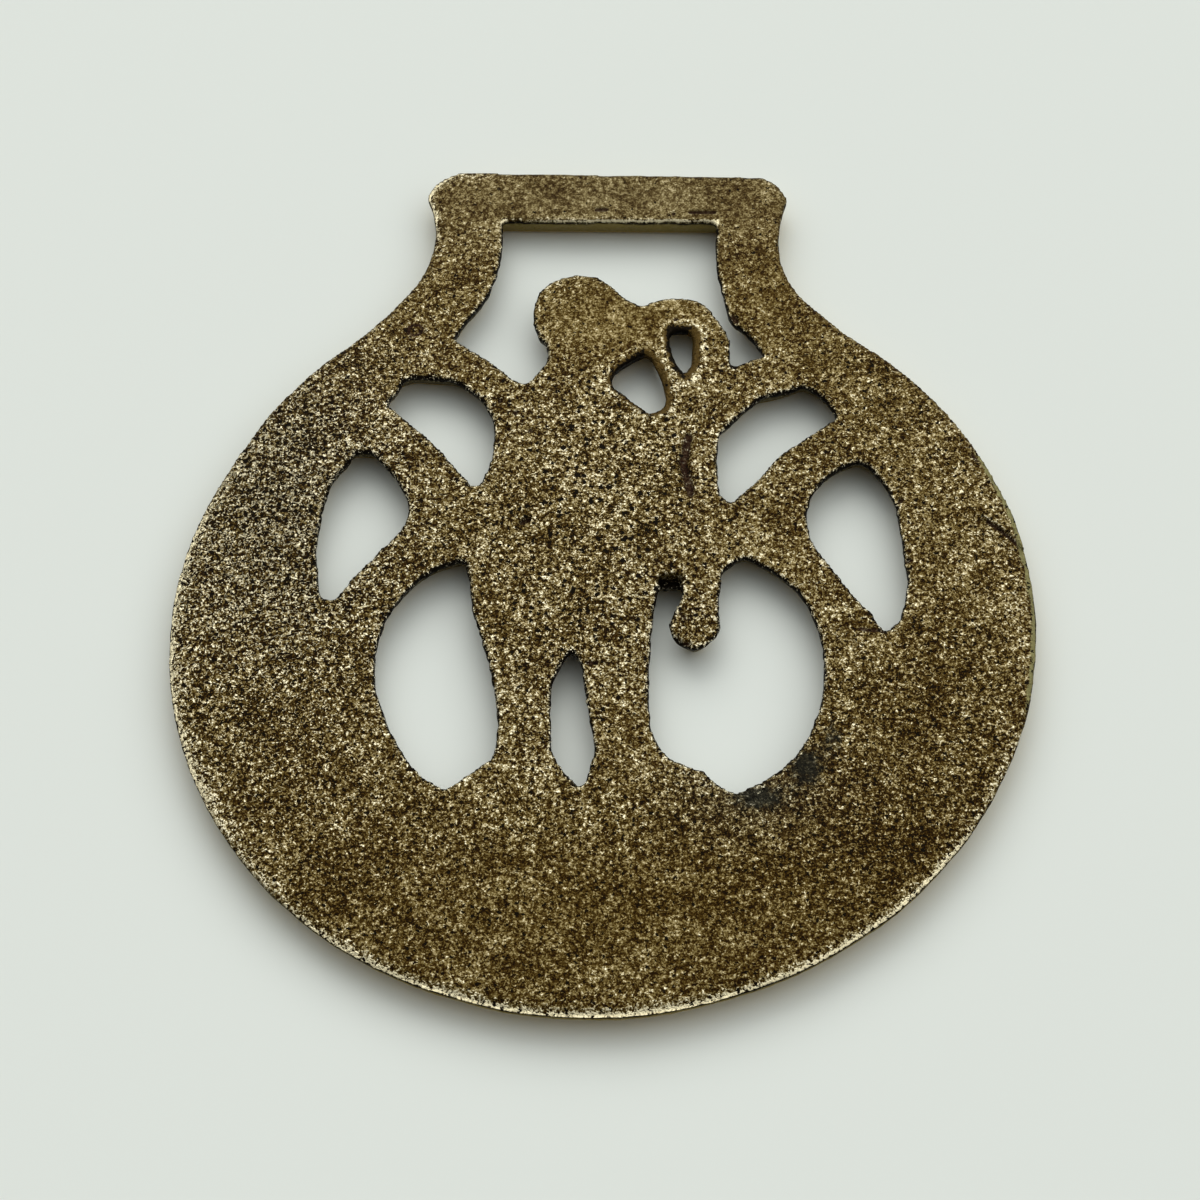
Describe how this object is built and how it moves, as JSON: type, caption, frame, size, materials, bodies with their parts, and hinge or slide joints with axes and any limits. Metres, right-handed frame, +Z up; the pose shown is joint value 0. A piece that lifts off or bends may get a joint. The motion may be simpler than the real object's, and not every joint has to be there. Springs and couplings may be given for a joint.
{
  "type": "horse brass",
  "caption": "Cast openwork harness brass: a round plate with a standing figure under a strap hanger, lying back face up.",
  "frame": {"origin": "centre of the bounding box, on the surface that the front face rests on", "axes": "+Z is up, out of the flat cast back; +Y runs from the round plate to the strap hanger"},
  "size_m": [0.0784, 0.092, 0.003],
  "materials": {
    "cast_brass": "tarnished, grainy as cast"
  },
  "bodies": {
    "root": {"horse_brass": "cast_brass"}
  },
  "joints": []
}
